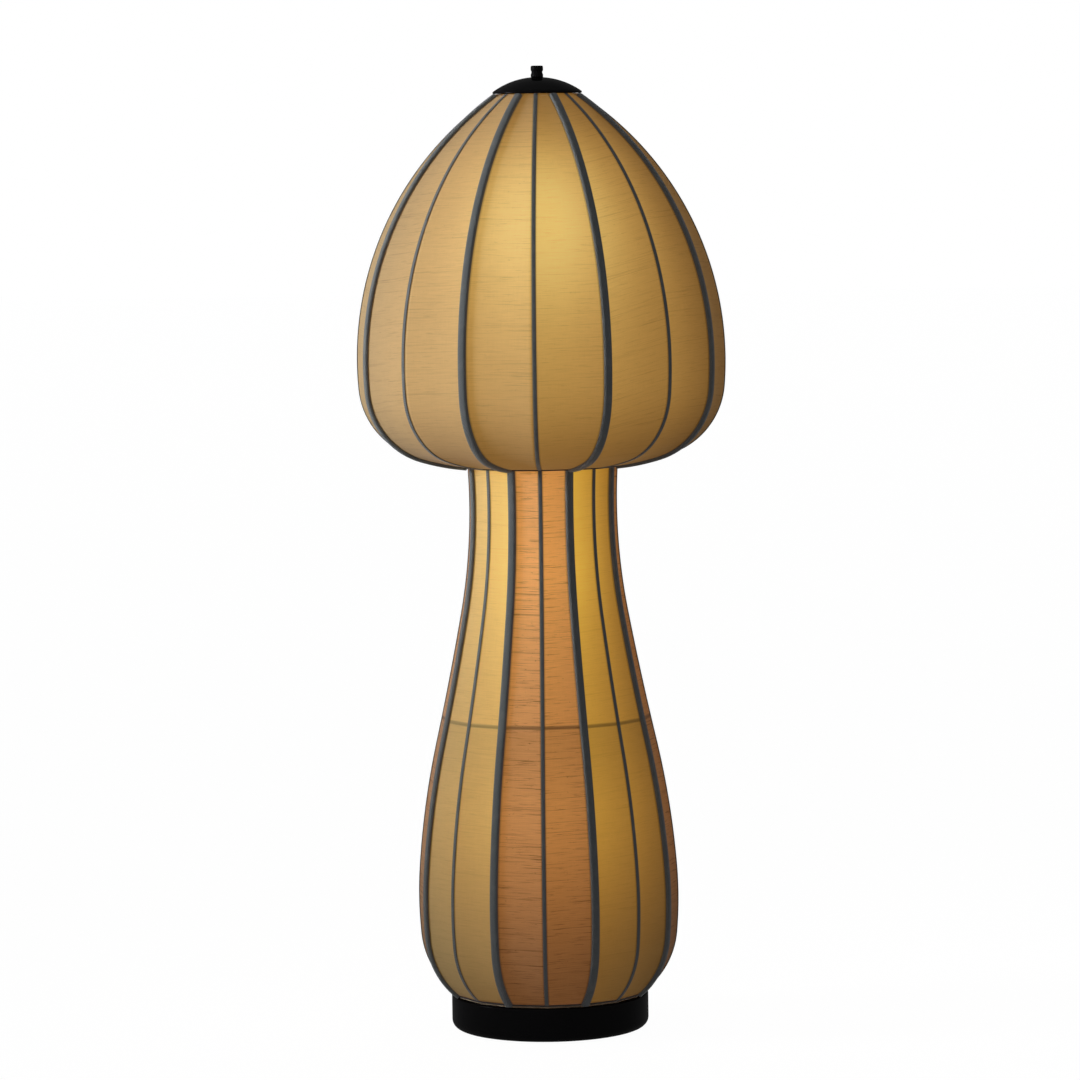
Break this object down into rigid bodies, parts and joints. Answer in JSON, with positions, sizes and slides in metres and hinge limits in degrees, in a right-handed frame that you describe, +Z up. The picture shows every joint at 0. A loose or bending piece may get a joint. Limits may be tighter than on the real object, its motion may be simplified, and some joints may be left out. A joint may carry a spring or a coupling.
{
  "type": "floor lamp",
  "caption": "Mushroom floor lamp: waisted fabric stem on a weighted round base, lift-off domed fabric cap with ribs, dark dome and screw finial.",
  "frame": {"origin": "centre of the base on the floor", "axes": "+Z up along the pole, -Y towards the viewer (front fine rib), +X to the viewer's right"},
  "size_m": [0.4782, 0.4782, 1.25],
  "materials": {
    "black_satin": "satin black enamel, slightly worn on the edges",
    "cast_weight": "raw cast iron",
    "rubber_black": "matt rubber",
    "gland_plastic": "black moulded plastic",
    "pole_black": "black powder coat",
    "zinc_steel": "bright zinc plate",
    "holder_plastic": "black moulded lamp holder",
    "opal_glass": "opal globe lamp, lit warm",
    "ring_steel": "off-white coated flat steel",
    "linen_caramel": "slubbed linen, lit from behind",
    "linen_cream": "slubbed linen, lit from behind",
    "linen_straw": "slubbed linen, lit from behind",
    "piping_slate": "dark cotton tape sewn over wire"
  },
  "bodies": {
    "root": {"base_housing": "black_satin", "base_weight": "cast_weight", "rubber_pads": "rubber_black", "cord_gland": "gland_plastic", "pole_tube": "pole_black", "pole_fittings": "zinc_steel", "lamp_arms": "zinc_steel", "lamp_holders": "holder_plastic", "globe_lamps": "opal_glass", "stem_bottom_ring": "ring_steel", "stem_mid_ring": "ring_steel", "stem_top_ring": "ring_steel", "stem_panels_caramel": "linen_caramel", "stem_panels_cream": "linen_cream", "stem_main_ribs": "piping_slate", "stem_fine_ribs": "piping_slate"},
    "cap": {"cap_panels": "linen_straw", "cap_main_ribs": "piping_slate", "cap_fine_ribs": "piping_slate", "cap_top_ring": "ring_steel", "cap_mouth_ring": "ring_steel", "cap_dome": "black_satin"},
    "finial": {"finial": "black_satin"}
  },
  "joints": [
    {"name": "cap_lift", "type": "slide", "parent": "root", "child": "cap", "axis": [0, 0, 1], "range_m": [0, 0.52]},
    {"name": "finial_turn", "type": "hinge", "parent": "cap", "child": "finial", "pos_m": [0, 0, 1.235], "axis": [0, 0, 1], "range_deg": [0, 2700]}
  ]
}
